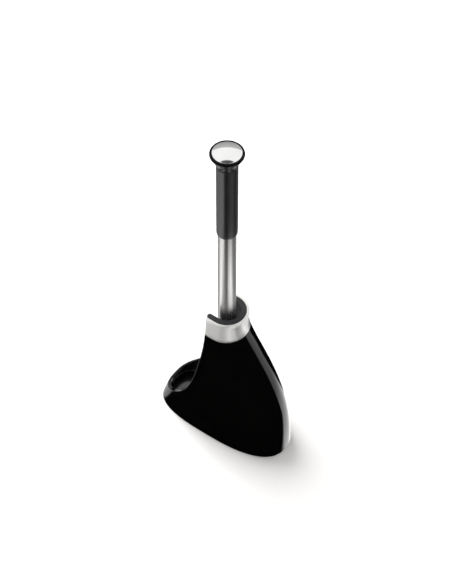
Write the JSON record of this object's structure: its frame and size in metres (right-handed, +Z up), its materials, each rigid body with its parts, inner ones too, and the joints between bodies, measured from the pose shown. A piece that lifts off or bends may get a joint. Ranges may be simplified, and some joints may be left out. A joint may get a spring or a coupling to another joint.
{
  "type": "toilet plunger with caddy",
  "caption": "Toilet plunger with a straight steel handle, a black grip and a domed end cap, standing in an open-fronted black caddy with a metal collar.",
  "frame": {"origin": "on the floor at the middle of the caddy's footprint, on the axis of the plunger's tube", "axes": "+Z up along the plunger's tube; -Y towards the caddy's open front and low lip; +Y towards its spine; X across the caddy, which is symmetric about X = 0"},
  "size_m": [0.102, 0.225, 0.5965],
  "materials": {
    "gloss_black": "high gloss",
    "plain_black": "moulded, matt",
    "plated_steel": "zinc plated",
    "foot_rubber": "matt",
    "satin_steel": "satin brushed",
    "insert_grey": "fine matt",
    "cup_rubber": "soft matt",
    "brushed_tube": "lengthwise brushed",
    "grip_black": "satin",
    "cap_black": "gloss",
    "polished_disc": "mirror polished"
  },
  "bodies": {
    "caddy": {"cover_shell": "gloss_black", "base_tray": "gloss_black", "ballast_plate": "plated_steel", "base_plate": "plain_black", "base_screw_1": "plated_steel", "base_screw_2": "plated_steel", "base_screw_3": "plated_steel", "base_screw_4": "plated_steel", "foot_pad_1": "foot_rubber", "foot_pad_2": "foot_rubber", "foot_pad_3": "foot_rubber", "foot_pad_4": "foot_rubber", "collar_band": "satin_steel", "collar_insert": "insert_grey", "collar_holder": "plain_black", "collar_magnet_1": "plated_steel", "collar_magnet_2": "plated_steel", "collar_magnet_3": "plated_steel", "collar_screw_1": "plated_steel", "collar_screw_2": "plated_steel"},
    "cup": {"rubber_cup": "cup_rubber"},
    "handle": {"cup_washer_lower": "plated_steel", "cup_nut": "plated_steel", "cup_washer_upper": "plated_steel", "cup_stud": "plated_steel", "tube_end_plug": "plain_black", "neck_ferrule": "brushed_tube", "rod_tube": "brushed_tube", "keeper_sleeve": "plated_steel", "grip_sleeve": "grip_black", "tube_top_plug": "plain_black", "end_cap": "cap_black", "end_cap_screw": "plated_steel", "end_disc": "polished_disc"}
  },
  "joints": [
    {"name": "plunger_lift_out", "type": "slide", "parent": "caddy", "child": "cup", "axis": [0, -0.5736, 0.8192], "range_m": [0, 0.36]},
    {"name": "cup_stroke", "type": "slide", "parent": "cup", "child": "handle", "axis": [0, 0, 1], "range_m": [-0.025, 0], "stiffness_N_per_m": 2000, "springref_m": 0.004, "deforming": ["rubber_cup"]}
  ]
}
